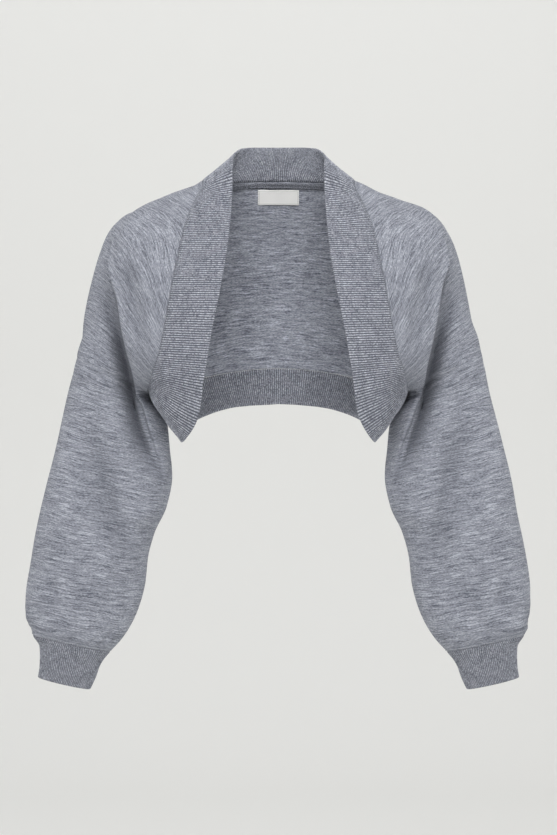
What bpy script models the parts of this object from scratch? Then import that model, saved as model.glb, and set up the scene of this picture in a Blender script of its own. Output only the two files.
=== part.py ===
"""A cropped knitted shrug with bishop sleeves, standing in the shape that it has when it is worn.

Metres, +Z up. -Y is the front and +X the wearer's left. The origin is the middle of the shoulder
line, level with the base of the neck, where the wearer's shoulders hold the garment up.

The cloth is worked out in millimetres as middle surfaces, one for each piece that is knitted and
linked on, and each is then given its thickness. Two pieces that are linked share the points of
their seam, so that they keep the same small gap all along it.
"""

from collections import namedtuple

import bpy
import numpy as np

MM = 0.001

# Walls and seams
JERSEY_WALL = 2.0
RIB_WALL = 2.6
LABEL_WALL = 0.8
NECK_SEAM_WALL = 1.6
SEAM_GAP = 0.3
SEAM_EASING = 2  # rounds of evening out the seams' directions
SHARPEST_CORNER = 0.2  # a corner sharper than this is drawn back less than its seams need

# The fold that runs from the point of the shoulder down to the underarm
FOLD_OVERLAP = 2.5  # how far the folded edge reaches over the sleeve, where the fold is deep
DEEP_FOLD = 20.0  # a sleeve this far behind the front's folded edge has the whole overlap
FOLD_HALF_WIDTH = 0.1  # of the fold's turn, as an angle round a full section
UNFOLDED_HALF_WIDTH = 0.16  # the same where there is no fold, so that the columns spread out

# Courses whose outer point is above this height lie over the shoulder, and end before they turn under
SHOULDER_HEIGHT = -40

# The woven label inside the back of the neck
LABEL_WIDTH = 52.0
LABEL_HEIGHT = 18.5
LABEL_DROP = 9.2  # from the neck seam to the label's top edge

# The ridge of linked loops on the inside of the neck seam
NECK_SEAM_TOP = 0.6  # below the seam itself
NECK_SEAM_HEIGHT = 7.2
NECK_SEAM_INSET = 2  # columns of the back, from each end of its neck edge

SURFACE_GAP = 0.5  # between the back and what lies on it, more than the back's facets sag

Ring = namedtuple("Ring", "outer front back front_depth back_depth fold_at sleeve_depth")

# One row for each course of the left sleeve and its front, from the cuff up to the neck: the point
# on the outer line, the ends of the course at the front and at the back, how deep it stands before
# and behind the outer line, where the fold crosses it (0 at the outer line, 1 at the front end), and
# how deep the sleeve stands on its own side of the fold. Up to the underarm the two ends meet, and
# the sleeve is a tube. Above it the front end follows the rib band, and the back end the back panel.
UNDERARM = 14
SLEEVE = [
    Ring((299.5, -16, -546), (207.5, -16, -566), (207.5, -16, -566), 24, 24, 0.80, 24),
    Ring((305.5, -16, -531), (195, -16, -553), (195, -16, -553), 32, 32, 0.80, 32),
    Ring((308, -16, -511), (182, -15, -534), (182, -15, -534), 37, 38, 0.82, 37),
    Ring((307, -15, -488), (171, -14, -509), (171, -14, -509), 40, 41, 0.84, 40),
    Ring((303, -14, -458), (164, -12, -481), (164, -12, -481), 41, 42, 0.86, 41),
    Ring((298, -13, -428), (161, -11, -452), (161, -11, -452), 41, 43, 0.88, 41),
    Ring((290.5, -12, -393), (153, -9, -421), (153, -9, -421), 41, 44, 0.90, 41),
    Ring((283.5, -10, -357), (138, -7, -388), (138, -7, -388), 42, 45, 0.92, 39),
    Ring((275, -8, -320), (131.5, -4, -352), (131.5, -4, -352), 44, 46, 0.92, 37),
    Ring((266.5, -6, -283), (134.5, 0, -320), (134.5, 0, -320), 47, 48, 0.885, 36),
    Ring((259, -4, -252), (137.5, 3, -291), (137.5, 3, -291), 49, 50, 0.81, 36),
    Ring((254.5, -3, -233), (143, 4, -275), (143, 4, -275), 50, 52, 0.79, 37),
    Ring((251.5, -3, -221), (152, 5, -264), (152, 5, -264), 51.5, 54, 0.81, 38),
    Ring((249.5, -2, -214), (158, 6, -257), (158, 6, -257), 53, 55, 0.83, 38),
    Ring((248.5, -2, -208), (158, 6, -251), (158, 6, -251), 56, 57, 0.81, 38.5),
    Ring((246, -2, -198), (157.5, -33, -246), (157, 30, -243), 62, 62, 0.79, 39.5),
    Ring((243, -1, -184), (155.5, -60, -238), (157, 51, -228), 72, 68, 0.745, 41.5),
    Ring((239.5, -1, -167), (150.5, -82, -225), (158.5, 68, -205), 85, 76, 0.645, 45),
    Ring((234, 0, -140), (143, -96, -205), (161.5, 80, -175), 97, 85, 0.50, 51),
    Ring((226.5, 0, -108), (137, -101, -178), (166, 84, -142), 101.5, 86, 0.345, 62),
    Ring((217.5, 0, -77), (131.5, -101, -146), (171, 80, -110), 101.5, 81, 0.14, 82),
    Ring((207, 0, -52), (126, -92, -114), (176, 70, -82), 92.5, 70.5, 0.10, 92.5),
    Ring((190, 1, -32), (120, -76, -82), (178, 52, -54), 79, 53, 0.15, 79),
    Ring((165, 3, -19.5), (113.5, -54, -48), (160, 35, -28), 61, 36, 0.25, 61),
    Ring((138, 5, -8), (106, -36, -26), (135, 30, -14), 46, 29, 0.35, 46),
    Ring((112, 7, 3), (99, -20, -9), (110, 27, -1), 31, 23, 0.35, 31),
    Ring((93, 9, 12), (93, -8, 4), (89, 24, 10), 20, 17.5, 0.35, 20),
]
NECK = len(SLEEVE) - 1

# The cuff's rings, from its seam to its edge.
CUFF = [
    SLEEVE[0],
    Ring((291, -16, -560), (214.5, -16, -574), (214.5, -16, -574), 21, 21, 0.80, 21),
    Ring((290.5, -17, -572), (220, -17, -583), (220, -17, -583), 19, 19, 0.80, 19),
    Ring((291, -17, -585), (225, -17, -597), (225, -17, -597), 18.5, 18.5, 0.80, 18.5),
    Ring((293, -18, -598), (232, -18, -612), (232, -18, -612), 18, 18, 0.80, 18),
]

BackRow = namedtuple("BackRow", "depth height fullness")

# The back's centre line, a row for each sleeve course from the underarm to the neck: how far behind
# the shoulder line it is, its height, and how square the course is (2 is a plain arc).
BACK = [
    BackRow(99, -218, 4.0),
    BackRow(100, -207, 3.8),
    BackRow(101, -192, 3.5),
    BackRow(102, -172, 3.2),
    BackRow(102, -149, 2.8),
    BackRow(101, -124, 2.5),
    BackRow(98, -99, 2.3),
    BackRow(94, -76, 2.3),
    BackRow(89, -54, 2.3),
    BackRow(82, -33, 2.3),
    BackRow(76, -16, 2.3),
    BackRow(70, 1, 2.4),
    BackRow(64, 16, 2.5),
]

Edge = namedtuple("Edge", "station point bulge")

# The free edge of the rib band, from the middle of the neck to the middle of the hem. Stations
# 0 to 1 lie along the back's neck, 1 to 2 over the shoulder, 2 to 3 down the front to the
# underarm, and 3 to 4 along the back's hem. The bulge is how far the band's middle stands out.
BAND_EDGE = [
    Edge(0.00, (0, 60, 58.5), 0.0),
    Edge(0.35, (26, 58, 58.5), 0.0),
    Edge(0.65, (41, 51.5, 57), 0.0),
    Edge(0.85, (49, 40.5, 52.5), 0.0),
    Edge(1.00, (53.5, 28, 47), 0.5),
    Edge(1.50, (56, 11, 39), 1.0),
    Edge(2.00, (56, -8, 26), 1.5),
    Edge(2.083, (56, -26, 2), 2.0),
    Edge(2.167, (57, -42, -22), 2.5),
    Edge(2.25, (58.5, -60, -47), 3.0),
    Edge(2.333, (62, -82, -82), 3.0),
    Edge(2.417, (67, -99, -114), 3.0),
    Edge(2.50, (73, -110, -147), 3.0),
    Edge(2.583, (79.5, -116, -180), 3.0),
    Edge(2.667, (84, -118, -209), 3.0),
    Edge(2.75, (88.5, -116, -236), 3.5),
    Edge(2.833, (92.5, -106, -268), 5.0),
    Edge(2.875, (98, -97, -285), 6.0),
    Edge(2.917, (107, -83, -300), 7.0),
    Edge(2.96, (115, -63, -309), 4.0),
    Edge(3.00, (117, -38, -307), -3.0),
    Edge(3.10, (117, -6, -300), -6.0),
    Edge(3.25, (112, 28, -291), -3.0),
    Edge(3.50, (91, 70, -277.5), 1.0),
    Edge(3.75, (50, 92, -266.3), 2.0),
    Edge(4.00, (0, 96, -262.5), 2.0),
]

# How finely each piece is cut up
FRONT_COLUMNS = 4
FOLD_TURNS = (2.2, 1.3, 0.6, 0.0, -0.6, -1.3, -2.2)
SLEEVE_COLUMNS = 6
BACK_COLUMNS = 10
BACK_PANEL_COLUMNS = 16
BAND_ROWS = 4

COLOURS = {
    "jersey": (0.262, 0.275, 0.318),
    "rib": (0.235, 0.247, 0.287),
    "label": (0.80, 0.79, 0.76),
}
ROUGHNESS = {"jersey": 0.92, "rib": 0.92, "label": 0.7}


def clear_scene():
    for obj in list(bpy.data.objects):
        bpy.data.objects.remove(obj)


def unit(vector):
    return vector / np.linalg.norm(vector)


def smooth_through(stations, values, at):
    """Values on a smooth curve through the rows, which never swings past them."""
    stations, values = np.asarray(stations, float), np.asarray(values, float)
    rises = np.diff(values, axis=0) / np.diff(stations)[:, None]
    slopes = np.vstack([rises[:1], np.zeros_like(rises[1:]), rises[-1:]])
    steady = rises[:-1] * rises[1:] > 0
    both = np.where(steady, rises[:-1] + rises[1:], 1)
    slopes[1:-1] = np.where(steady, 2 * rises[:-1] * rises[1:] / both, 0)
    i = int(np.clip(np.searchsorted(stations, at) - 1, 0, len(stations) - 2))
    step = stations[i + 1] - stations[i]
    t = (at - stations[i]) / step
    return (
        values[i] * (2 * t**3 - 3 * t**2 + 1)
        + slopes[i] * step * (t**3 - 2 * t**2 + t)
        + values[i + 1] * (3 * t**2 - 2 * t**3)
        + slopes[i + 1] * step * (t**3 - t**2)
    )


def section_angles(ring, end_angle):
    """The angles of a course's front half, from its front end to the outer line, closer at the fold."""
    fold = np.arccos(1 - ring.fold_at * (1 - np.cos(end_angle)))
    recess = ring.front_depth - ring.sleeve_depth
    half_width = np.interp(recess, [0, DEEP_FOLD / 2], [UNFOLDED_HALF_WIDTH, FOLD_HALF_WIDTH])
    half_width *= end_angle / np.pi
    turns = [fold + turn * half_width for turn in FOLD_TURNS]
    front = np.linspace(end_angle, turns[0], FRONT_COLUMNS + 1)[:-1]
    sleeve = np.linspace(turns[-1], 0, SLEEVE_COLUMNS + 1)[1:]
    return fold, half_width, [*front, *turns, *sleeve]


def arc_end(outer, end, depth, facing):
    """The angle at which an arc that starts at the outer line and is that deep reaches its end."""
    reach = np.arcsin(np.clip(facing * (end[1] - outer[1]) / depth, 0, 1))
    return reach if outer[2] > SHOULDER_HEIGHT else np.pi - reach


def arc_point(outer, end, depth, end_angle, angle, facing):
    """A point of an elliptical arc from the outer line to an end of the course."""
    share = (1 - np.cos(angle)) / (1 - np.cos(end_angle))
    lean = end[1] - outer[1] - facing * depth * np.sin(end_angle)
    point = np.array(outer, float)
    point[0] += (end[0] - outer[0]) * share
    point[2] += (end[2] - outer[2]) * share
    point[1] += facing * depth * np.sin(angle) + lean * share
    return point


def folded(point, ring, fold, half_width, angle):
    """The point moved into the fold: the sleeve further back, and the folded edge over it."""
    turn = (angle - fold) / half_width
    step = np.clip((turn + 1) / 2, 0, 1)
    behind = 1 - step * step * (3 - 2 * step)
    recess = ring.front_depth - ring.sleeve_depth
    overlap = FOLD_OVERLAP * min(1.0, recess / DEEP_FOLD) * turn * np.exp((1 - turn * turn) / 2)
    along = np.array([ring.front[0] - ring.outer[0], 0, ring.front[2] - ring.outer[2]])
    return point + [0, recess * np.sin(angle) * behind, 0] - unit(along) * overlap


def course(ring):
    """The points of one course of the sleeve, from its front end over the outer line to its back end."""
    front_end = arc_end(ring.outer, ring.front, ring.front_depth, -1)
    back_end = arc_end(ring.outer, ring.back, ring.back_depth, 1)
    fold, half_width, angles = section_angles(ring, front_end)
    points = [np.array(ring.front, float)]
    for angle in angles[1:]:
        plain = arc_point(ring.outer, ring.front, ring.front_depth, front_end, angle, -1)
        points.append(folded(plain, ring, fold, half_width, angle))
    for angle in np.linspace(0, back_end, BACK_COLUMNS + 1)[1:]:
        points.append(arc_point(ring.outer, ring.back, ring.back_depth, back_end, angle, 1))
    return np.array(points)


class Panel:
    """A piece of cloth: a grid of points whose columns may close on themselves."""

    def __init__(self, rows, closed_rows=0, closed_round=False):
        self.points, self.quads = [], []
        width = len(rows[0])
        index = np.zeros((len(rows), width), int)
        for j, row in enumerate(rows):
            for i, point in enumerate(row):
                if closed_round and i == width - 1 or j < closed_rows and i == width - 1:
                    index[j, i] = index[j, 0]
                else:
                    index[j, i] = len(self.points)
                    self.points.append(point)
        for j in range(len(rows) - 1):
            for i in range(width - 1):
                corners = (index[j, i], index[j, i + 1], index[j + 1, i + 1], index[j + 1, i])
                self.quads.append(tuple(int(c) for c in corners))
        self.points = np.array(self.points, float)
        self.index = index

    def mirrored(self):
        """The same piece for the other side of the body."""
        twin = object.__new__(Panel)
        twin.points = self.points * [-1, 1, 1]
        twin.quads = [quad[::-1] for quad in self.quads]
        twin.index = self.index
        return twin

    def normals(self):
        """The outward direction at each point, weighted by the area of its faces."""
        total = np.zeros_like(self.points)
        for quad in self.quads:
            a, b, c, d = self.points[list(quad)]
            total[list(quad)] += np.cross(c - a, d - b)
        return total / np.linalg.norm(total, axis=1)[:, None]

    def rim(self):
        """The edges that belong to one face only, each in that face's direction."""
        edges = {}
        for quad in self.quads:
            for k in range(4):
                edges[quad[k], quad[(k + 1) % 4]] = True
        return [edge for edge in edges if edge[::-1] not in edges]


def key(point):
    return tuple(np.round(point, 2))


def seam_normals(panels):
    """One shared outward direction for each point where pieces are linked, eased along the seams."""
    found, beside = {}, {}
    for panel in panels:
        normals = panel.normals()
        for start, end in panel.rim():
            here, there = key(panel.points[start]), key(panel.points[end])
            found.setdefault(here, []).append(normals[start])
            beside.setdefault(here, set()).add(there)
            beside.setdefault(there, set()).add(here)
    shared = {here: unit(np.sum(normals, axis=0)) for here, normals in found.items() if len(normals) > 1}
    for _ in range(SEAM_EASING):
        eased = {}
        for here, normal in shared.items():
            around = [shared[there] for there in sorted(beside[here]) if there in shared]
            eased[here] = unit(normal + np.sum(around, axis=0) / 2)
        shared = eased
    return shared


def drawn_back(panel, seams):
    """The panel's points and directions, with each seam's edge moved back by half the seam gap."""
    points, normals = panel.points.copy(), panel.normals()
    rim = panel.rim()
    before = {end: start for start, end in rim}
    after = dict(rim)
    for corner, following in after.items():
        shared = seams.get(key(panel.points[corner]))
        if shared is None:
            continue
        normals[corner] = shared
        inward = []
        for along in (panel.points[corner] - panel.points[before[corner]],
                      panel.points[following] - panel.points[corner]):
            inward.append(unit(np.cross(shared, along)))
        bend = max(1 + inward[0] @ inward[1], SHARPEST_CORNER)
        points[corner] += (inward[0] + inward[1]) / bend * SEAM_GAP / 2
    return points, normals


def material(name):
    made = bpy.data.materials.get(name)
    if made:
        return made
    made = bpy.data.materials.new(name)
    made.use_nodes = True
    shader = made.node_tree.nodes["Principled BSDF"]
    shader.inputs["Base Color"].default_value = (*COLOURS[name], 1)
    shader.inputs["Roughness"].default_value = ROUGHNESS[name]
    shader.inputs["Metallic"].default_value = 0
    return made


def split(quad, points):
    """The two triangles of a quad, cut along its shorter diagonal."""
    a, b, c, d = quad
    if np.linalg.norm(points[a] - points[c]) < np.linalg.norm(points[b] - points[d]):
        return (a, b, c), (a, c, d)
    return (a, b, d), (b, c, d)


def thick_cloth(name, panel, wall, finish, seams):
    """The panel as a closed wall of that thickness."""
    points, normals = drawn_back(panel, seams)
    count = len(points)
    outside = points + normals * wall / 2
    inside = points - normals * wall / 2
    facets = [facet for quad in panel.quads for facet in split(quad, points)]
    faces = list(facets)
    faces += [tuple(c + count for c in facet[::-1]) for facet in facets]
    faces += [(end, start, start + count, end + count) for start, end in panel.rim()]
    mesh = bpy.data.meshes.new(name)
    mesh.from_pydata((np.vstack([outside, inside]) * MM).tolist(), [], faces)
    mesh.materials.append(material(finish))
    mesh.shade_smooth()
    obj = bpy.data.objects.new(name, mesh)
    bpy.context.collection.objects.link(obj)
    return obj


def sleeve_panel():
    """The left sleeve and front, knitted in one: a tube up to the underarm, and open above it."""
    return Panel([course(ring) for ring in SLEEVE], closed_rows=UNDERARM + 1)


def cuff_panel():
    """The left cuff, from its edge up to the sleeve."""
    return Panel([course(ring) for ring in CUFF[::-1]], closed_round=True)


def back_course(row, end):
    """One course of the back, from the wearer's right to the left, through its centre line."""
    points = []
    for angle in np.linspace(-np.pi / 2, np.pi / 2, BACK_PANEL_COLUMNS + 1):
        across = np.sin(angle)
        rise = 1 - abs(across) ** row.fullness
        sag = 1 - across * across
        y = end[1] + (row.depth - end[1]) * rise
        z = end[2] + (row.height - end[2]) * sag
        points.append(np.array([end[0] * across, y, z]))
    return np.array(points)


def back_panel():
    rows = [back_course(row, ring.back) for row, ring in zip(BACK, SLEEVE[UNDERARM:])]
    return Panel([row[::-1] for row in rows])


def seam_loop(sleeve, back):
    """The left half of the band's seam, as (station, point), from the neck's middle to the hem's."""
    half = BACK_PANEL_COLUMNS // 2
    stops = []
    for i in range(half, -1, -1):
        stops.append(((half - i) / half, back.points[back.index[-1, i]]))
    shoulder = sleeve.points[sleeve.index[-1, ::-1]]
    for point in shoulder[1:]:
        stops.append((1 + (point[1] - shoulder[0, 1]) / (shoulder[-1, 1] - shoulder[0, 1]), point))
    for r in range(NECK - 1, UNDERARM - 1, -1):
        stops.append((2 + (NECK - r) / (NECK - UNDERARM), sleeve.points[sleeve.index[r, 0]]))
    for i in range(1, half + 1):
        stops.append((3 + i / half, back.points[back.index[0, i]]))
    return stops


def band_column(station, seam):
    """The band's points from its seam to its free edge, at one station."""
    stations = [edge.station for edge in BAND_EDGE]
    values = [(*edge.point, edge.bulge) for edge in BAND_EDGE]
    *edge, bulge = smooth_through(stations, values, station)
    edge = np.array(edge)
    middle = (seam + edge) / 2
    outward = np.array([middle[0], middle[1] - 5, 0])
    across = unit(edge - seam)
    outward = unit(outward - across * (outward @ across))
    column = []
    for share in np.linspace(0, 1, BAND_ROWS + 1):
        column.append(seam + (edge - seam) * share + outward * bulge * 4 * share * (1 - share))
    return np.array(column)


def band_panel(sleeve, back):
    """The rib band, one strip that runs round the neck, both fronts and the hem."""
    left = [band_column(station, seam) for station, seam in seam_loop(sleeve, back)]
    right = [column * [-1, 1, 1] for column in left[-2:0:-1]]
    columns = left + right + left[:1]
    rows = [[column[k] for column in columns] for k in range(BAND_ROWS, -1, -1)]
    return Panel(rows, closed_round=True)


def point_on_back(back, across, drop):
    """A point of the back's own facets, that far across from its centre and down from its neck edge."""
    line = []
    for row in back.index:
        points = back.points[row[::-1]]
        line.append([np.interp(across, points[:, 0], points[:, axis]) for axis in (1, 2)])
    depths, heights = np.transpose(line)
    height = heights[-1] - drop
    return np.array([across, np.interp(height, heights, depths), height])


def lying_on_back(back, across, drops, wall):
    """A strip along the inside of the back, moved in far enough for a wall to clear it."""
    panel = Panel([[point_on_back(back, x, drop) for x in across] for drop in drops])
    panel.points -= panel.normals() * (JERSEY_WALL / 2 + SURFACE_GAP + wall / 2)
    return panel


def label_panel(back):
    """The woven label, flat on the inside of the back."""
    across = np.linspace(LABEL_WIDTH / 2, -LABEL_WIDTH / 2, 5)
    return lying_on_back(back, across, LABEL_DROP + LABEL_HEIGHT * np.array([1, 0.5, 0]), LABEL_WALL)


def neck_seam_panel(back):
    """The ridge of linked loops along the inside of the neck seam, column for column with the back."""
    across = back.points[back.index[-1, NECK_SEAM_INSET:-NECK_SEAM_INSET], 0]
    drops = NECK_SEAM_TOP + NECK_SEAM_HEIGHT * np.array([1, 0.5, 0])
    return lying_on_back(back, across, drops, NECK_SEAM_WALL)


def build():
    clear_scene()
    sleeve = sleeve_panel()
    cuff = cuff_panel()
    back = back_panel()
    band = band_panel(sleeve, back)
    pairs = {
        "sleeve_and_front_left": sleeve,
        "sleeve_and_front_right": sleeve.mirrored(),
        "back": back,
        "rib_band": band,
        "cuff_left": cuff,
        "cuff_right": cuff.mirrored(),
    }
    seams = seam_normals(pairs.values())
    for name, panel in pairs.items():
        ribbed = name.startswith(("rib", "cuff"))
        wall, finish = (RIB_WALL, "rib") if ribbed else (JERSEY_WALL, "jersey")
        thick_cloth(name, panel, wall, finish, seams)
    thick_cloth("neck_label", label_panel(back), LABEL_WALL, "label", {})
    thick_cloth("neck_seam", neck_seam_panel(back), NECK_SEAM_WALL, "rib", {})


build()
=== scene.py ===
# %% [markdown]
# # A knitted shrug with bishop sleeves
# The garment has five knitted pieces: two sleeves, each knitted in one with its front, a back, a
# rib band that runs round the whole opening, and a pair of rib cuffs. This lesson dresses the plain
# solids of the frame. Each piece becomes a thin wall of cloth on the same form, with its soft folds,
# and gets a finish that follows its own stitches.

# %% Load the frame
from collections import namedtuple

import bpy
import numpy as np
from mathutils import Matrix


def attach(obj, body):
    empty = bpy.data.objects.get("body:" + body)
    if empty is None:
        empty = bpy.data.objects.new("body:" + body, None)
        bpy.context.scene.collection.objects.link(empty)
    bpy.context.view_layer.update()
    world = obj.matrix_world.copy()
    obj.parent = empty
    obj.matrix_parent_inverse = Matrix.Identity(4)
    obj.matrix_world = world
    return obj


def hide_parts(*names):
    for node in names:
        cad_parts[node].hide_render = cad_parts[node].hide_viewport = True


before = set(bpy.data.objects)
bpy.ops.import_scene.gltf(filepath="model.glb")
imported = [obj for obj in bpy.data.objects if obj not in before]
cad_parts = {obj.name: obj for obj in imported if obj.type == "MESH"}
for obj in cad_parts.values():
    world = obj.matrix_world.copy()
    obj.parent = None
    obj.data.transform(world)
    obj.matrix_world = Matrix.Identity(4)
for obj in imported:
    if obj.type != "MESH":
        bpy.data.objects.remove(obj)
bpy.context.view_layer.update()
print("nodes:", sorted(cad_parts))

# %% [markdown]
# ## Camera, light and room
# A garment that is filled out with no wearer is shown straight from the front with a long lens, so
# that it hardly tapers. The light is one broad soft source in front and above, with a weak fill
# from each side. That leaves the folds their shade and keeps the wool matt.

# %% Camera
CAMERA_DISTANCE = 3.2
CAMERA_HEIGHT = -0.2798
LENS = 112.1

bpy.ops.object.select_all(action="DESELECT")
bpy.ops.object.camera_add(location=(0, -CAMERA_DISTANCE, CAMERA_HEIGHT), rotation=(np.pi / 2, 0, 0))
camera = bpy.context.object
camera.data.lens = LENS
bpy.context.scene.camera = camera
bpy.context.scene.view_settings.view_transform = "Standard"
print("the camera is", CAMERA_DISTANCE, "m in front of the shoulder line")

# %% Lights
# name: place, size across and up, strength in watts, and the place it is aimed at
MIDDLE_OF_GARMENT = (0, 0, -0.3)
MIDDLE_OF_WALL = (0, 5.4, -0.9)
LIGHTS = {
    "key": ((0.0, -2.9, 2.2), (2.2, 1.4), 98, MIDDLE_OF_GARMENT),
    "fill_left": ((2.8, -2.0, 0.2), (1.6, 2.4), 17, MIDDLE_OF_GARMENT),
    "fill_right": ((-2.8, -2.0, 0.2), (1.6, 2.4), 17, MIDDLE_OF_GARMENT),
    "wall": ((0.0, 2.2, 3.4), (6.0, 0.8), 60, MIDDLE_OF_WALL),
}


def turn_towards(place, aim):
    """The rotation that points a light at the place it is aimed at."""
    x, y, z = np.array(aim) - np.array(place)
    return (np.arctan2(np.hypot(x, y), -z), 0, np.arctan2(-x, y))


for light_name, (place, size, watts, aim) in LIGHTS.items():
    bpy.ops.object.light_add(type="AREA", location=place, rotation=turn_towards(place, aim))
    lamp = bpy.context.object
    lamp.name = light_name
    lamp.data.shape = "RECTANGLE"
    lamp.data.size, lamp.data.size_y = size
    lamp.data.energy = watts

world = bpy.data.worlds.new("room_light")
bpy.context.scene.world = world
world.use_nodes = True
world.node_tree.nodes["Background"].inputs["Color"].default_value = (1.0, 1.0, 1.0, 1)
world.node_tree.nodes["Background"].inputs["Strength"].default_value = 0.45
print(len(LIGHTS), "lights")

# %% [markdown]
# The room is one pale sheet, which is floor in front and wall behind, with a wide curve between
# them so that no line shows. It is a plane whose back edge is extruded upwards and whose corner is
# bevelled.

# %% Backdrop
FLOOR_HEIGHT = -1.35
WALL_DISTANCE = 5.4
WALL_TOP = 5.0
ROOM_HALF_WIDTH = 9.0
CURVE_RADIUS = 1.2
BACKDROP_COLOUR = (0.88, 0.88, 0.862, 1)


def select_where(test, kind="verts"):
    """In edit mode, selects the vertices or edges of the mesh whose middle passes the test."""
    bpy.ops.mesh.select_mode(type="VERT" if kind == "verts" else "EDGE")
    bpy.ops.mesh.select_all(action="DESELECT")
    bpy.ops.object.mode_set(mode="OBJECT")
    mesh = bpy.context.object.data
    if kind == "verts":
        for vertex in mesh.vertices:
            vertex.select = bool(test(vertex.co))
    else:
        for edge in mesh.edges:
            ends = [mesh.vertices[i].co for i in edge.vertices]
            edge.select = all(test(end) for end in ends)
    bpy.ops.object.mode_set(mode="EDIT")


bpy.ops.object.select_all(action="DESELECT")
bpy.ops.mesh.primitive_plane_add(size=2)
backdrop = bpy.context.object
backdrop.name = "backdrop"
bpy.ops.object.mode_set(mode="EDIT")
bpy.ops.transform.resize(value=(ROOM_HALF_WIDTH, 5.0, 1))
bpy.ops.transform.translate(value=(0, WALL_DISTANCE - 5.0, FLOOR_HEIGHT))
select_where(lambda place: place.y > WALL_DISTANCE - 0.01, "edges")
bpy.ops.mesh.extrude_region_move(TRANSFORM_OT_translate={"value": (0, 0, WALL_TOP - FLOOR_HEIGHT)})
select_where(lambda place: place.y > WALL_DISTANCE - 0.01 and place.z < FLOOR_HEIGHT + 0.01, "edges")
bpy.ops.mesh.bevel(offset=CURVE_RADIUS, segments=24)
bpy.ops.object.mode_set(mode="OBJECT")
bpy.ops.object.shade_smooth()
pale = bpy.data.materials.new("pale_paper")
pale.use_nodes = True
pale.node_tree.nodes["Principled BSDF"].inputs["Base Color"].default_value = BACKDROP_COLOUR
pale.node_tree.nodes["Principled BSDF"].inputs["Roughness"].default_value = 1.0
pale.node_tree.nodes["Principled BSDF"].inputs["Specular IOR Level"].default_value = 0.0
backdrop.data.materials.append(pale)
print("backdrop:", len(backdrop.data.polygons), "faces")

# %% [markdown]
# ## The form of the garment
# The solids in the frame are facets through a short table of courses. A course is one row of
# stitches, and here it is a flat arc that starts at the outer line of the sleeve and ends at the
# front and at the back. The same table is used again, in millimetres, and read much more finely,
# so that the cloth is smooth and lies where the solids are.

# %% Courses of the sleeve
MM = 0.001
Ring = namedtuple("Ring", "outer front back front_depth back_depth fold_at sleeve_depth")
SHOULDER_HEIGHT = -40  # courses that start above this lie over the shoulder
UNDERARM = 14
SLEEVE = [
    Ring((299.5, -16, -546), (207.5, -16, -566), (207.5, -16, -566), 24, 24, 0.80, 24),
    Ring((305.5, -16, -531), (195, -16, -553), (195, -16, -553), 32, 32, 0.80, 32),
    Ring((308, -16, -511), (182, -15, -534), (182, -15, -534), 37, 38, 0.82, 37),
    Ring((307, -15, -488), (171, -14, -509), (171, -14, -509), 40, 41, 0.84, 40),
    Ring((303, -14, -458), (164, -12, -481), (164, -12, -481), 41, 42, 0.86, 41),
    Ring((298, -13, -428), (161, -11, -452), (161, -11, -452), 41, 43, 0.88, 41),
    Ring((290.5, -12, -393), (153, -9, -421), (153, -9, -421), 41, 44, 0.90, 41),
    Ring((283.5, -10, -357), (138, -7, -388), (138, -7, -388), 42, 45, 0.92, 39),
    Ring((275, -8, -320), (131.5, -4, -352), (131.5, -4, -352), 44, 46, 0.92, 37),
    Ring((266.5, -6, -283), (134.5, 0, -320), (134.5, 0, -320), 47, 48, 0.885, 36),
    Ring((259, -4, -252), (137.5, 3, -291), (137.5, 3, -291), 49, 50, 0.81, 36),
    Ring((254.5, -3, -233), (143, 4, -275), (143, 4, -275), 50, 52, 0.79, 37),
    Ring((251.5, -3, -221), (152, 5, -264), (152, 5, -264), 51.5, 54, 0.81, 38),
    Ring((249.5, -2, -214), (158, 6, -257), (158, 6, -257), 53, 55, 0.83, 38),
    Ring((248.5, -2, -208), (158, 6, -251), (158, 6, -251), 56, 57, 0.81, 38.5),
    Ring((246, -2, -198), (157.5, -33, -246), (157, 30, -243), 62, 62, 0.79, 39.5),
    Ring((243, -1, -184), (155.5, -60, -238), (157, 51, -228), 72, 68, 0.745, 41.5),
    Ring((239.5, -1, -167), (150.5, -82, -225), (158.5, 68, -205), 85, 76, 0.645, 45),
    Ring((234, 0, -140), (143, -96, -205), (161.5, 80, -175), 97, 85, 0.50, 51),
    Ring((226.5, 0, -108), (137, -101, -178), (166, 84, -142), 101.5, 86, 0.345, 62),
    Ring((217.5, 0, -77), (131.5, -101, -146), (171, 80, -110), 101.5, 81, 0.14, 82),
    Ring((207, 0, -52), (126, -92, -114), (176, 70, -82), 92.5, 70.5, 0.10, 92.5),
    Ring((190, 1, -32), (120, -76, -82), (178, 52, -54), 79, 53, 0.15, 79),
    Ring((165, 3, -19.5), (113.5, -54, -48), (160, 35, -28), 61, 36, 0.25, 61),
    Ring((138, 5, -8), (106, -36, -26), (135, 30, -14), 46, 29, 0.35, 46),
    Ring((112, 7, 3), (99, -20, -9), (110, 27, -1), 31, 23, 0.35, 31),
    Ring((93, 9, 12), (93, -8, 4), (89, 24, 10), 20, 17.5, 0.35, 20),
]
NECK = len(SLEEVE) - 1
CUFF = [
    SLEEVE[0],
    Ring((291, -16, -560), (214.5, -16, -574), (214.5, -16, -574), 21, 21, 0.80, 21),
    Ring((290.5, -17, -572), (220, -17, -583), (220, -17, -583), 19, 19, 0.80, 19),
    Ring((291, -17, -585), (225, -17, -597), (225, -17, -597), 18.5, 18.5, 0.80, 18.5),
    Ring((293, -18, -598), (232, -18, -612), (232, -18, -612), 18, 18, 0.80, 18),
]
print(len(SLEEVE), "courses from cuff to neck")

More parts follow.
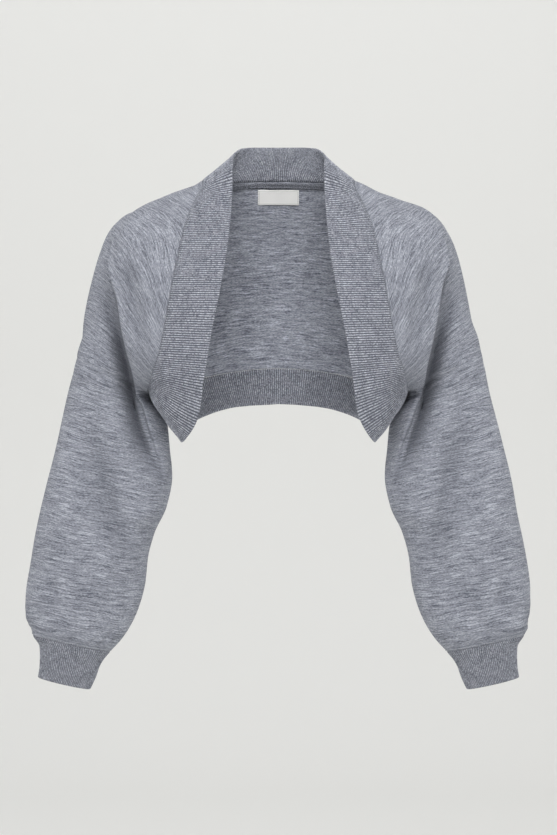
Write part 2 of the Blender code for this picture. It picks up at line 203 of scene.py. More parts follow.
# %% The back's centre line and the band's free edge
BackRow = namedtuple("BackRow", "depth height fullness")
BACK = [
    BackRow(99, -218, 4.0),
    BackRow(100, -207, 3.8),
    BackRow(101, -192, 3.5),
    BackRow(102, -172, 3.2),
    BackRow(102, -149, 2.8),
    BackRow(101, -124, 2.5),
    BackRow(98, -99, 2.3),
    BackRow(94, -76, 2.3),
    BackRow(89, -54, 2.3),
    BackRow(82, -33, 2.3),
    BackRow(76, -16, 2.3),
    BackRow(70, 1, 2.4),
    BackRow(64, 16, 2.5),
]
Edge = namedtuple("Edge", "station point bulge")
BAND_EDGE = [
    Edge(0.00, (0, 60, 58.5), 0.0),
    Edge(0.35, (26, 58, 58.5), 0.0),
    Edge(0.65, (41, 51.5, 57), 0.0),
    Edge(0.85, (49, 40.5, 52.5), 0.0),
    Edge(1.00, (53.5, 28, 47), 0.5),
    Edge(1.50, (56, 11, 39), 1.0),
    Edge(2.00, (56, -8, 26), 1.5),
    Edge(2.083, (56, -26, 2), 2.0),
    Edge(2.167, (57, -42, -22), 2.5),
    Edge(2.25, (58.5, -60, -47), 3.0),
    Edge(2.333, (62, -82, -82), 3.0),
    Edge(2.417, (67, -99, -114), 3.0),
    Edge(2.50, (73, -110, -147), 3.0),
    Edge(2.583, (79.5, -116, -180), 3.0),
    Edge(2.667, (84, -118, -209), 3.0),
    Edge(2.75, (88.5, -116, -236), 3.5),
    Edge(2.833, (92.5, -106, -268), 5.0),
    Edge(2.875, (98, -97, -285), 6.0),
    Edge(2.917, (107, -83, -300), 7.0),
    Edge(2.96, (115, -63, -309), 4.0),
    Edge(3.00, (117, -38, -307), -3.0),
    Edge(3.10, (117, -6, -300), -6.0),
    Edge(3.25, (112, 28, -291), -3.0),
    Edge(3.50, (91, 70, -277.5), 1.0),
    Edge(3.75, (50, 92, -266.3), 2.0),
    Edge(4.00, (0, 96, -262.5), 2.0),
]
print(len(BACK), "rows of the back,", len(BAND_EDGE), "points of the band's edge")


# %% [markdown]
# Curves through the tables must not swing past their rows, or the cloth would ripple. Each slope is
# the harmonic mean of the rises beside it, and is flat where the rises change sign.

# %% Smooth curves through a table
def smooth_through(stations, table, at):
    """The columns of a table on smooth curves through its rows, read at any stations."""
    stations, table, at = (np.asarray(a, float) for a in (stations, table, at))
    rises = np.diff(table, axis=0) / np.diff(stations)[:, None]
    slopes = np.vstack([rises[:1], np.zeros_like(rises[1:]), rises[-1:]])
    steady = rises[:-1] * rises[1:] > 0
    both = np.where(steady, rises[:-1] + rises[1:], 1)
    slopes[1:-1] = np.where(steady, 2 * rises[:-1] * rises[1:] / both, 0)
    i = np.clip(np.searchsorted(stations, at, side="right") - 1, 0, len(stations) - 2)
    step = (stations[i + 1] - stations[i])[:, None]
    t = (at[:, None] - stations[i][:, None]) / step
    return (
        table[i] * (2 * t**3 - 3 * t**2 + 1)
        + slopes[i] * step * (t**3 - 2 * t**2 + t)
        + table[i + 1] * (3 * t**2 - 2 * t**3)
        + slopes[i + 1] * step * (t**3 - t**2)
    )


def smooth_step(x):
    x = np.clip(x, 0, 1)
    return x * x * (3 - 2 * x)


def unit(vectors):
    return vectors / np.maximum(np.linalg.norm(vectors, axis=-1, keepdims=True), 1e-9)


def arc_end(ring, end, depth, facing):
    """The angle at which a course's arc, that deep, reaches its end."""
    reach = np.arcsin(np.clip(facing * (end[1] - ring.outer[1]) / depth, 0, 1))
    return reach if ring.outer[2] > SHOULDER_HEIGHT else np.pi - reach


def course_table(rings):
    """One row of plain numbers for each ring, with the angles at which its two arcs end."""
    rows = []
    for ring in rings:
        front_end = arc_end(ring, ring.front, ring.front_depth, -1)
        back_end = arc_end(ring, ring.back, ring.back_depth, 1)
        rows.append([*ring.outer, *ring.front, *ring.back, *ring[3:], front_end, back_end])
    return np.array(rows, float)


print("angles of the underarm course:", course_table(SLEEVE)[UNDERARM, -2:].round(2))

# %% [markdown]
# A long soft fold runs from the point of each shoulder down to the underarm, where the front hangs
# over the sleeve. Along a course it is a step from the front's depth back to the sleeve's depth,
# with the folded edge reaching a little over the sleeve. The columns of the mesh crowd together
# there, so that the fold is round and not a crease in paper.

# %% Fine courses
FOLD_OVERLAP = 2.5
DEEP_FOLD = 20.0
FOLD_HALF_WIDTH = 0.1
UNFOLDED_HALF_WIDTH = 0.16
FOLD_REACH = 2.2  # the fold's columns spread this many half widths to each side
FRONT_PART, FOLD_PART, SLEEVE_PART, BACK_PART = 36, 44, 34, 62


def arc_points(outer, end, depth, end_angle, angles, facing):
    """Points of the arcs from the outer line to one end of each course."""
    share = (1 - np.cos(angles)) / (1 - np.cos(end_angle))
    lean = end[:, 1:2] - outer[:, 1:2] - facing * depth * np.sin(end_angle)
    x = outer[:, 0:1] + (end[:, 0:1] - outer[:, 0:1]) * share
    y = outer[:, 1:2] + facing * depth * np.sin(angles) + lean * share
    z = outer[:, 2:3] + (end[:, 2:3] - outer[:, 2:3]) * share
    return np.stack([x, y, z], axis=-1)


def between(start, end, count):
    """For each course, that many even steps from one angle to another, without the last."""
    share = np.arange(count) / count
    return start + (end - start) * share


def fine_courses(rings, at):
    """The middle surface of a sleeve or cuff: a grid of points, one line for each place in the table."""
    table = smooth_through(np.arange(len(rings)), course_table(rings), at)
    outer, front, back = table[:, 0:3], table[:, 3:6], table[:, 6:9]
    front_depth, back_depth, fold_at, sleeve_depth, front_end, back_end = (
        table[:, k:k + 1] for k in range(9, 15)
    )
    fold = np.arccos(1 - fold_at * (1 - np.cos(front_end)))
    recess = front_depth - sleeve_depth
    half_width = np.interp(recess, [0, DEEP_FOLD / 2], [UNFOLDED_HALF_WIDTH, FOLD_HALF_WIDTH])
    half_width = half_width * front_end / np.pi
    inner_side, outer_side = fold + FOLD_REACH * half_width, fold - FOLD_REACH * half_width
    angles = np.hstack([
        between(front_end, inner_side, FRONT_PART),
        between(inner_side, outer_side, FOLD_PART),
        between(outer_side, 0, SLEEVE_PART),
    ])
    points = arc_points(outer, front, front_depth, front_end, angles, -1)
    turn = (angles - fold) / half_width
    points[..., 1] += recess * np.sin(angles) * (1 - smooth_step((turn + 1) / 2))
    overlap = FOLD_OVERLAP * np.minimum(1, recess / DEEP_FOLD) * turn * np.exp((1 - turn * turn) / 2)
    along = unit((front - outer) * [1, 0, 1])
    fade = smooth_step((front_end - angles) / (0.3 * front_end))
    points -= (overlap * fade)[..., None] * along[:, None]
    angles = back_end * np.arange(BACK_PART + 1) / BACK_PART
    behind = arc_points(outer, back, back_depth, back_end, angles, 1)
    return np.concatenate([points, behind], axis=1)


def beside_fold(rings, at):
    """The share of painted shade for each point of the grid: 1 where the folded edge covers the sleeve,
    and 0 away from it.
    """
    table = smooth_through(np.arange(len(rings)), course_table(rings), at)
    front_depth, sleeve_depth = table[:, 9:10], table[:, 12:13]
    columns = np.arange(FRONT_PART + FOLD_PART + SLEEVE_PART + BACK_PART + 1)[None]
    turn = FOLD_REACH - (columns - FRONT_PART) * 2 * FOLD_REACH / FOLD_PART
    covered = np.exp(-((np.minimum(turn, 0.1) - 0.1) / 1.5) ** 2) * smooth_step((0.9 - turn) / 0.8)
    return covered * np.clip((front_depth - sleeve_depth) / 26, 0, 1)


OUTER_COLUMN = FRONT_PART + FOLD_PART + SLEEVE_PART
print("columns in a course:", OUTER_COLUMN + BACK_PART + 1)

# %% [markdown]
# The rows are spread evenly along whichever end of the course moves most, about three millimetres
# apart, and one row lies exactly at the underarm, where the tube opens into front and back.

# %% Places of the rows
ROW_STEP = 2.85


def even_places(rings, first, last):
    """Places in the table, about a row's step apart on the cloth, from one course to another."""
    dense = np.linspace(first, last, 40 * (last - first) + 1)
    table = smooth_through(np.arange(len(rings)), course_table(rings), dense)
    moves = [np.linalg.norm(np.diff(table[:, k:k + 3], axis=0), axis=1) for k in (0, 3)]
    run = np.concatenate([[0], np.cumsum(np.max(moves, axis=0))])
    return np.interp(np.linspace(0, run[-1], int(round(run[-1] / ROW_STEP)) + 1), run, dense)


below = even_places(SLEEVE, 0, UNDERARM)
above = even_places(SLEEVE, UNDERARM, NECK)
places = np.concatenate([below, above[1:]])
CLOSED = len(below)  # rows whose two ends are one column
sleeve_form = fine_courses(SLEEVE, places)
print("sleeve grid:", sleeve_form.shape[:2], "of which closed:", CLOSED)


# %% [markdown]
# ## From a grid to a wall of cloth
# Each piece is worked out as a grid of points on the middle of the cloth. A panel keeps that grid,
# welds the columns that meet, and finds the outward direction at each point. Its outline is drawn
# back a little, so that linked pieces never touch, and the two faces of the cloth then lie half a
# wall to each side.

# %% A panel of cloth
SEAM_GAP = 0.3


class Panel:
    """A grid of points whose last column may be the first one again, in some or all rows."""

    def __init__(self, grid, closed_rows=0):
        rows, columns = grid.shape[:2]
        self.grid = grid.copy()
        self.closed_rows = closed_rows
        self.index = np.arange(rows * columns).reshape(rows, columns)
        self.index[:closed_rows, -1] = self.index[:closed_rows, 0]
        i = self.index
        self.quads = np.stack([i[:-1, :-1], i[:-1, 1:], i[1:, 1:], i[1:, :-1]], axis=-1).reshape(-1, 4)

    def normals(self):
        """The outward direction at each point of the grid, weighted by the area of its faces."""
        points = self.grid.reshape(-1, 3)
        a, b, c, d = (points[self.quads[:, k]] for k in range(4))
        across = np.cross(c - a, d - b)
        total = np.zeros_like(points)
        for k in range(4):
            np.add.at(total, self.quads[:, k], across)
        return unit(total)[self.index]

    def moved(self, amount, normals):
        """Moves the grid along its normals, and keeps welded columns together."""
        amount = amount.copy()
        amount[:self.closed_rows, -1] = amount[:self.closed_rows, 0]
        self.grid += amount[..., None] * normals

    def drawn_back(self, sides):
        """Moves the named sides of the grid inwards by half the seam gap."""
        grid = self.grid
        half = SEAM_GAP / 2
        if "first_row" in sides:
            grid[0] += unit(grid[1] - grid[0]) * half
        if "last_row" in sides:
            grid[-1] += unit(grid[-2] - grid[-1]) * half
        free = slice(max(self.closed_rows - 1, 0), None)
        if "first_column" in sides:
            grid[free, 0] += unit(grid[free, 1] - grid[free, 0]) * half
        if "last_column" in sides:
            grid[free, -1] += unit(grid[free, -2] - grid[free, -1]) * half


def arc_lengths(lines):
    """How far along each line its points are."""
    steps = np.linalg.norm(np.diff(lines, axis=1), axis=2)
    return np.concatenate([np.zeros((len(lines), 1)), np.cumsum(steps, axis=1)], axis=1)


def cloth(name, panel, normals, half_wall, knit, outside, inside, mirrored=False, painted_shade=None):
    """The panel as a closed wall, with a map of its stitches in metres along course and wale."""
    flat = panel.index.reshape(-1)
    used, place = np.unique(flat, return_inverse=True)
    place = place.reshape(panel.index.shape)
    points, directions = panel.grid.reshape(-1, 3)[used], normals.reshape(-1, 3)[used]
    offset = (half_wall * np.ones(panel.index.shape)).reshape(-1)[used][:, None]
    count = len(used)
    renumber = np.zeros(panel.index.size, int)
    renumber[used] = np.arange(count)
    quads = renumber[panel.quads]
    rows, columns = panel.index.shape
    cell = np.arange(rows * columns).reshape(rows, columns)
    corner = np.stack([cell[:-1, :-1], cell[:-1, 1:], cell[1:, 1:], cell[1:, :-1]], axis=-1).reshape(-1, 4)
    edges = np.stack([quads, np.roll(quads, -1, axis=1)], axis=-1).reshape(-1, 2)
    cells = np.stack([corner, np.roll(corner, -1, axis=1)], axis=-1).reshape(-1, 2)
    keys = edges[:, 0] * count + edges[:, 1]
    lone = ~np.isin(keys, edges[:, 1] * count + edges[:, 0])
    start, end = edges[lone].T
    start_cell, end_cell = cells[lone].T
    faces = np.vstack([
        quads,
        quads[:, ::-1] + count,
        np.stack([end, start, start + count, end + count], axis=1),
    ])
    corners = np.vstack([
        corner,
        corner[:, ::-1],
        np.stack([end_cell, start_cell, start_cell, end_cell], axis=1),
    ])
    both = np.vstack([points + directions * offset, points - directions * offset]) * MM
    if mirrored:
        both = both * [-1, 1, 1]
        faces, corners = faces[:, ::-1], corners[:, ::-1]
    mesh = bpy.data.meshes.new(name)
    mesh.from_pydata(both.tolist(), [], faces.tolist())
    layer = mesh.uv_layers.new(name="knit")
    layer.data.foreach_set("uv", (knit.reshape(-1, 2)[corners.reshape(-1)] * MM).ravel())
    # The share of painted shade on each point, read by the jersey's finish.
    if painted_shade is not None:
        depth = mesh.attributes.new("painted_shade", "FLOAT", "POINT")
        depth.data.foreach_set("value", np.tile(painted_shade.reshape(-1)[used], 2).astype(np.float32))
    mesh.materials.append(outside)
    mesh.materials.append(inside)
    which = np.zeros(len(faces), np.int32)
    which[len(quads):2 * len(quads)] = 1
    mesh.polygons.foreach_set("material_index", which)
    mesh.shade_smooth()
    mesh.update()
    piece = bpy.data.objects.new(name, mesh)
    bpy.context.collection.objects.link(piece)
    triangles = 2 * len(faces)
    print(f"{name}: {triangles} triangles")
    return piece


# %% [markdown]
# ## Creases
# Cloth that hangs from a shoulder and is caught at a cuff falls into a few soft troughs and ridges.
# Each one here is a short line on the front or the back of a sleeve, in millimetres across and up,
# with its own depth, its own width to each side, and tapered ends. No two sleeves crease alike, so
# each has its own table.

# %% Crease tables
Crease = namedtuple("Crease", "side line depth inner_width outer_width")
LEFT_CREASES = [
    Crease(
        "front",
        [(207, -120), (197, -170), (186, -215), (179, -250), (172, -284), (157, -330), (138, -366)],
        -16, 5, 11,
    ),
    Crease("front", [(178, -81), (169, -138), (162, -178), (158, -206)], -5.0, 9, 12),
    Crease(
        "front",
        [(222, -249), (220, -293), (209, -336), (197, -402), (184, -441), (171, -474)],
        -6.0, 12, 18,
    ),
    Crease("front", [(157, -391), (172, -406)], 3.5, 8, 8),
    Crease("front", [(161, -413), (172, -424)], -3.0, 5, 6),
    Crease("front", [(276, -488), (262, -508)], -2.5, 8, 9),
    Crease("back", [(214, -112), (204, -190), (184, -262), (158, -322)], -6.0, 14, 18),
    Crease("back", [(243, -300), (226, -368), (198, -428)], -4.5, 13, 17),
    Crease("back", [(262, -405), (244, -462), (221, -510)], -3.0, 10, 13),
    Crease("back", [(176, -372), (168, -404)], 3.0, 8, 9),
]
RIGHT_CREASES = [
    Crease(
        "front",
        [(208, -125), (196, -172), (185, -212), (179, -249), (172, -289), (158, -330), (137, -367)],
        -17, 5, 12,
    ),
    Crease("front", [(184, -77), (175, -124), (166, -163), (160, -203)], -5.5, 9, 13),
    Crease(
        "front",
        [(228, -278), (221, -314), (213, -351), (201, -391), (190, -431), (173, -467)],
        -7.0, 12, 18,
    ),
    Crease("front", [(158, -391), (176, -409)], 4.0, 7, 8),
    Crease("front", [(161, -413), (172, -424)], -3.5, 5, 6),
    Crease("front", [(281, -470), (270, -496)], -2.0, 9, 10),
    Crease("back", [(219, -98), (208, -178), (190, -256), (166, -330)], -5.5, 13, 19),
    Crease("back", [(238, -322), (216, -394), (186, -446)], -5.0, 14, 16),
    Crease("back", [(268, -432), (251, -480), (236, -519)], -3.0, 10, 12),
]
print(len(LEFT_CREASES), "creases on the left sleeve,", len(RIGHT_CREASES), "on the right")


# %% Shaping the creases
def crease_height(across, up, crease):
    """How far one crease moves each point of the cloth, up out of the cloth or down into it."""
    line = np.array(crease.line, float)
    run = np.concatenate([[0], np.cumsum(np.linalg.norm(np.diff(line, axis=0), axis=1))])
    best = np.full(across.shape, np.inf)
    signed, place = np.zeros(across.shape), np.zeros(across.shape)
    for k in range(len(line) - 1):
        start, way = line[k], line[k + 1] - line[k]
        length = np.hypot(*way)
        share = np.clip(((across - start[0]) * way[0] + (up - start[1]) * way[1]) / length**2, 0, 1)
        dx, dz = across - start[0] - share * way[0], up - start[1] - share * way[1]
        distance = np.hypot(dx, dz)
        nearer = distance < best
        best = np.where(nearer, distance, best)
        signed = np.where(nearer, dx, signed)
        place = np.where(nearer, run[k] + share * length, place)
    width = np.where(signed > 0, crease.outer_width, crease.inner_width)
    ends = smooth_step(place / (0.35 * run[-1])) * smooth_step((run[-1] - place) / (0.35 * run[-1]))
    return crease.depth * np.exp(-(best / width) ** 2) * (0.15 + 0.85 * ends)


# waves along the first way, along the second way, where each starts, and its share of the swell
WAVES = [
    (0.021, 0.013, 0.4, 1.0),
    (0.034, 0.027, 1.9, 0.6),
    (0.012, 0.046, 4.0, 0.7),
    (0.061, 0.022, 2.7, 0.35),
]


def uneven(first, second, amount, shift=0.0):
    """A low swell with no pattern to it, so that no stretch of cloth is perfectly even."""
    total = 0
    for a, b, phase, share in WAVES:
        total = total + share * np.sin(first * a * 2 * np.pi * 0.5 + second * b + phase + shift)
    return amount * total


# %% [markdown]
# ## Yarn and stitches
# The wool is a melange: light, middle and dark fibres are carded together, so the yarn changes
# colour along its length, and every course shows it as short streaks. The finishes read the map of
# stitches on each piece, so that the streaks follow the courses over every fold.

# %% Shader maths as plain expressions
class Signal:
    """A socket of a shader, on which sums can be written as in Python."""

    def __init__(self, finish, socket):
        self.finish, self.socket = finish, socket

    def maths(self, operation, *others):
        sockets = {k + 1: other for k, other in enumerate(others)}
        return self.finish.add("ShaderNodeMath", {"operation": operation}, {0: self, **sockets})

    def __add__(self, other):
        return self.maths("ADD", other)

    def __sub__(self, other):
        return self.maths("SUBTRACT", other)

    def __rsub__(self, other):
        return self.finish.add("ShaderNodeMath", {"operation": "SUBTRACT"}, {0: other, 1: self})

    def __mul__(self, other):
        return self.maths("MULTIPLY", other)

    def __truediv__(self, other):
        return self.maths("DIVIDE", other)

    def ramp(self, low, high):
        """0 below the low value, 1 above the high one, and smooth between."""
        settings = {"interpolation_type": "SMOOTHSTEP"}
        return self.finish.add("ShaderNodeMapRange", settings, {0: self, 1: low, 2: high})

    __radd__ = __add__
    __rmul__ = __mul__


class Finish:
    """A material with its Principled shader, and short ways to add to it."""

    def __init__(self, name, roughness, sheen=0.0, specular=0.25):
        self.material = bpy.data.materials.new(name)
        self.material.use_nodes = True
        self.tree = self.material.node_tree
        self.shader = self.tree.nodes["Principled BSDF"]
        self.shader.inputs["Roughness"].default_value = roughness
        self.shader.inputs["Specular IOR Level"].default_value = specular
        self.shader.inputs["Sheen Weight"].default_value = sheen
        self.shader.inputs["Sheen Roughness"].default_value = 0.6
        self.shader.inputs["Sheen Tint"].default_value = (0.8, 0.83, 0.9, 1)

    def add(self, kind, settings=None, inputs=None, output=0):
        """A node with its settings, then its sockets by name or number, and one of its outputs."""
        node = self.tree.nodes.new(kind)
        for key, value in (settings or {}).items():
            setattr(node, key, value)
        for key, value in (inputs or {}).items():
            if isinstance(value, Signal):
                self.tree.links.new(value.socket, node.inputs[key])
            else:
                node.inputs[key].default_value = value
        return Signal(self, node.outputs[output])

    def mix(self, factor, first, second):
        """A colour between two colours."""
        return self.add(
            "ShaderNodeMix", {"data_type": "RGBA"}, {0: factor, 6: first, 7: second}, output=2
        )

    def feed(self, socket, signal):
        self.tree.links.new(signal.socket, self.shader.inputs[socket])

    def stitch_map(self):
        """Millimetres along the course and along the wale."""
        uv = self.add("ShaderNodeUVMap", {"uv_map": "knit"})
        split = self.add("ShaderNodeSeparateXYZ", inputs={0: uv})
        across = Signal(self, split.socket.node.outputs[0]) * 1000
        up = Signal(self, split.socket.node.outputs[1]) * 1000
        return across, up

    def noise(self, across, up, seed, detail=2.0, roughness=0.5):
        place = self.add("ShaderNodeCombineXYZ", inputs={0: across, 1: up, 2: seed})
        inputs = {"Vector": place, "Scale": 1.0, "Detail": detail, "Roughness": roughness}
        return self.add("ShaderNodeTexNoise", inputs=inputs)

    def bump(self, height, distance, strength=1.0, after=None):
        inputs = {"Height": height, "Distance": distance * MM, "Strength": strength}
        if after is not None:
            inputs["Normal"] = after
        return self.add("ShaderNodeBump", inputs=inputs)


print("a finish can be written as sums of signals")

# %% [markdown]
# Plain knit shows columns of small Vs on its face, and rows of small bumps on its back. Both are
# finer than a millimetre or two, so they are left to the bump, while the streaks carry the colour.

# %% Jersey, face and back
WALE = 1.6
COURSE = 1.15
DARK_WOOL = (0.098, 0.106, 0.135, 1)
MIDDLE_WOOL = (0.262, 0.275, 0.318, 1)
# Painted shade: the colour mixed into the wool in the main fold and in the crease troughs.
PAINTED_SHADE_COLOUR = (0.055, 0.060, 0.078, 1)  # mixed into the wool in the main fold, to deepen its shade
FOLD_SHADE = 0.72  # the most of it that is mixed in
PALE_WOOL = (0.500, 0.520, 0.585, 1)


def shaded(colour, share):
    """A colour with its brightness multiplied."""
    return tuple(share * c for c in colour[:3]) + (1,)


def melange(finish, across, up, dark, middle, pale, streak_length=19.0, streak_height=1.15):
    """Wool of mixed fibres, in streaks along the course."""
    waver = finish.noise(across / 38, up / 22, 3.1, detail=1.0)
    level = up + (waver - 0.5) * 9
    long_streaks = finish.noise(across / streak_length, level / streak_height, 7.7, detail=2.0)
    short_streaks = finish.noise(across / 2.7, level / 0.85, 1.3, detail=2.0, roughness=0.6)
    clouds = finish.noise(across / 60, up / 45, 5.2, detail=2.0)
    amount = (long_streaks - 0.5) * 2.0 + (short_streaks - 0.5) * 1.9 + (clouds - 0.5) * 0.25
    darkened = finish.mix((0 - amount).ramp(0.0, 0.50), middle, dark)
    return finish.mix(amount.ramp(0.02, 0.58), darkened, pale)


def knit_face(finish, across, up):
    """The height of plain knit on its face: a column of Vs for each wale."""
    wale = (across / WALE).maths("FRACT")
    from_middle = (wale - 0.5).maths("ABSOLUTE")
    column = (from_middle * 4 * np.pi).maths("COSINE") * 0.5 + 0.5
    rise = (up / COURSE + from_middle * 1.1) * (2 * np.pi)
    return (1 - column) * (rise.maths("SINE") * 0.35 + 0.65)


def jersey_face():
    finish = Finish("jersey_face", roughness=0.92, sheen=0.25)
    across, up = finish.stitch_map()
    wool = melange(finish, across, up, DARK_WOOL, MIDDLE_WOOL, PALE_WOOL)
    # Painted shade: the wool is darkened in the main fold and in the crease troughs, by the share stored
    # on the mesh.
    painted_shade = finish.add("ShaderNodeAttribute", {"attribute_name": "painted_shade"}, output=2)
    finish.feed("Base Color", finish.mix(painted_shade * FOLD_SHADE, wool, PAINTED_SHADE_COLOUR))
    fuzz = finish.noise(across / 2.4, up / 1.6, 9.0, detail=3.0, roughness=0.6)
    height = knit_face(finish, across, up) + fuzz * 1.6
    finish.feed("Normal", finish.bump(height, 0.5, 0.7))
    return finish.material


def jersey_back(name, shade):
    finish = Finish(name, roughness=0.95, sheen=0.12)
    across, up = finish.stitch_map()
    dark, middle, pale = (shaded(wool, shade) for wool in (DARK_WOOL, MIDDLE_WOOL, PALE_WOOL))
    finish.feed("Base Color", melange(finish, across, up, dark, middle, pale, 16.0, 1.1))
    bumps = (across * (2 * np.pi / WALE)).maths("SINE") * ((up * (2 * np.pi / COURSE)).maths("SINE"))
    fuzz = finish.noise(across / 2.0, up / 1.6, 4.0, detail=3.0, roughness=0.6)
    finish.feed("Normal", finish.bump(bumps * 0.5 + fuzz * 1.5, 0.45, 0.7))
    return finish.material


# The jersey's inside is painted lighter than its outside, as painted light, and the neck ridge is
# painted darker, as painted shade: the same wool, multiplied by a chosen share.
PAINTED_INSIDE_LIGHT, PAINTED_RIDGE_SHADE = 1.25, 0.55
face, purl = jersey_face(), jersey_back("jersey_purl", PAINTED_INSIDE_LIGHT)
ridge_purl = jersey_back("ridge_purl", PAINTED_RIDGE_SHADE)
print("jersey finishes:", face.name, purl.name)

# %% [markdown]
# The rib is knitted one plain, one purl. Its columns stand up as ridges, which are real relief in the
# mesh below, and the furrows between them also get painted shade: their colour is darkened. The map
# on a rib counts millimetres along the ribs and across them.

# %% Rib
RIB_DARK = (0.110, 0.118, 0.148, 1)
RIB_MIDDLE = (0.335, 0.350, 0.400, 1)
RIB_PALE = (0.62, 0.64, 0.70, 1)


def rib_finish(name, shade, period, depth, turned=False):
    finish = Finish(name, roughness=0.92, sheen=0.2)
    across, up = finish.stitch_map()
    dark, middle, pale = (shaded(wool, shade) for wool in (RIB_DARK, RIB_MIDDLE, RIB_PALE))
    wander = finish.noise(across / 14.0, up / 11.0, 5.5, detail=1.0) - 0.5
    phase = (across + wander * 0.45) * (2 * np.pi / period)
    ridge = phase.maths("COSINE") * (-0.5 if turned else 0.5) + 0.5
    strands = finish.noise(across / 1.3, up / 2.2, 2.2, detail=2.0, roughness=0.6)
    patches = finish.noise(across / 9.0, up / 7.0, 8.4, detail=2.0)
    amount = (strands - 0.5) * 2.3 + (patches - 0.5) * 0.6
    wool = finish.mix((0 - amount).ramp(0.0, 0.45), middle, dark)
    wool = finish.mix(amount.ramp(0.02, 0.48), wool, pale)
    # Painted shade: the colour in the furrows between the ribs is darkened, by as much as the depth asks.
    painted_furrow_shade = (1 - ridge).ramp(0.2, 0.9) * depth
    finish.feed("Base Color", finish.mix(painted_furrow_shade, wool, shaded(dark, 0.55)))
    stitch = (up * (2 * np.pi / COURSE)).maths("SINE") * ridge
    fuzz = finish.noise(across / 1.2, up / 1.6, 6.0, detail=3.0, roughness=0.6)
    finish.feed("Normal", finish.bump(stitch * 0.4 + fuzz, 0.4, 0.7))
    return finish.material


BAND_RIB = 2.8
CUFF_RIB = 2.9
band_face = rib_finish("band_rib", 1.0, BAND_RIB, 0.92)
band_back = rib_finish("band_rib_inside", 0.98, BAND_RIB, 0.7, True)
cuff_face = rib_finish("cuff_rib", 0.78, CUFF_RIB, 0.65)
cuff_back = rib_finish("cuff_rib_inside", 0.78, CUFF_RIB, 0.65, True)
print("rib finishes:", band_face.name, band_back.name, cuff_face.name, cuff_back.name)


# %% [markdown]
# ## The back and the band
# The back is a plain panel between the two sleeves. Its rows are the sleeve's own rows, so the
# three pieces share the points of their seams.

# %% Middle surface of the back
BACK_COLUMNS = 144


def back_form():
    rows = smooth_through(np.arange(len(BACK)), np.array(BACK, float), above - UNDERARM)
    ends = sleeve_form[CLOSED - 1:, -1]
    angles = np.linspace(np.pi / 2, -np.pi / 2, BACK_COLUMNS + 1)
    across = np.sin(angles)[None]
    depth, height, fullness = (rows[:, k:k + 1] for k in range(3))
    x, y, z = (ends[:, k:k + 1] for k in range(3))
    rise = 1 - np.abs(across) ** fullness
    sag = 1 - across**2
    points = [x * across, y + (depth - y) * rise, z + (height - z) * sag]
    return np.stack(points, axis=-1), angles


back_grid, back_angles = back_form()
sleeve_panel, back_panel = Panel(sleeve_form, CLOSED), Panel(back_grid)
sleeve_normals, back_normals = sleeve_panel.normals(), back_panel.normals()
print("back grid:", back_grid.shape[:2])

# %% [markdown]
# The band's seam is one long loop. Its left half runs from the middle of the neck over the shoulder
# and down the front, round the underarm and along the hem. Each stretch says which panel it lies
# on, so that the panel and the band can agree on one direction there.

# %% The seam of the band
MIDDLE = BACK_COLUMNS // 2
neck_edge = back_grid[-1, MIDDLE::-1]
shoulder_edge = sleeve_form[-1, ::-1]
front_edge = sleeve_form[:CLOSED - 2:-1, 0]
hem_edge = back_grid[0, :MIDDLE + 1]
shoulder_share = (shoulder_edge[:, 1] - shoulder_edge[0, 1]) / np.ptp(shoulder_edge[:, 1]) * -1
stretches = [
    (neck_edge, back_normals[-1, MIDDLE::-1], back_angles[MIDDLE::-1] / (np.pi / 2)),
    (shoulder_edge, sleeve_normals[-1, ::-1], 1 + shoulder_share),
    (front_edge, sleeve_normals[:CLOSED - 2:-1, 0], 2 + (NECK - above[::-1]) / (NECK - UNDERARM)),
    (hem_edge, back_normals[0, :MIDDLE + 1], 4 - back_angles[:MIDDLE + 1] / (np.pi / 2)),
]
seam = np.concatenate([stretch[0] for stretch in stretches])
seam_normals = np.concatenate([stretch[1] for stretch in stretches])
seam_stations = np.concatenate([stretch[2] for stretch in stretches])
seam_run = np.concatenate([[0], np.cumsum(np.linalg.norm(np.diff(seam, axis=0), axis=1))])
print("half of the band's seam:", round(seam_run[-1], 1), "mm")


def along_seam(values, at):
    """Values of the seam's points, read at any distance along it."""
    run = seam_run + np.arange(len(seam_run)) * 1e-9
    return np.stack([np.interp(at, run, values[:, k]) for k in range(values.shape[1])], axis=-1)


# %% [markdown]
# The band is a strip of one by one rib, linked on so that every rib runs from the seam to the free
# edge. Its ribs are close together where the seam is short and fan out round the corners at the
# bottom of the fronts. The relief of each rib is in the mesh, six columns to a rib.

# %% Middle surface of the band
RIB_WALL = 2.6
RIB_COLUMNS = 6
RIB_RELIEF = 0.42
EDGE_ROUNDING = np.array([0.06, 0.5, 0.87, 1.0])  # how much of the wall is left, in the last rows
half_ribs = int(round(seam_run[-1] / BAND_RIB))


def band_shares(width, rows):
    """Places from seam to free edge, with the last ones close together where the edge is rounded."""
    near = RIB_WALL / 2 * (1 - np.sqrt(1 - EDGE_ROUNDING**2))
    plain = np.linspace(0, 1, rows)[None, :-1] * (width[:, None] - near[-1]) / width[:, None]
    return np.hstack([plain, 1 - near[None, ::-1] / width[:, None]])


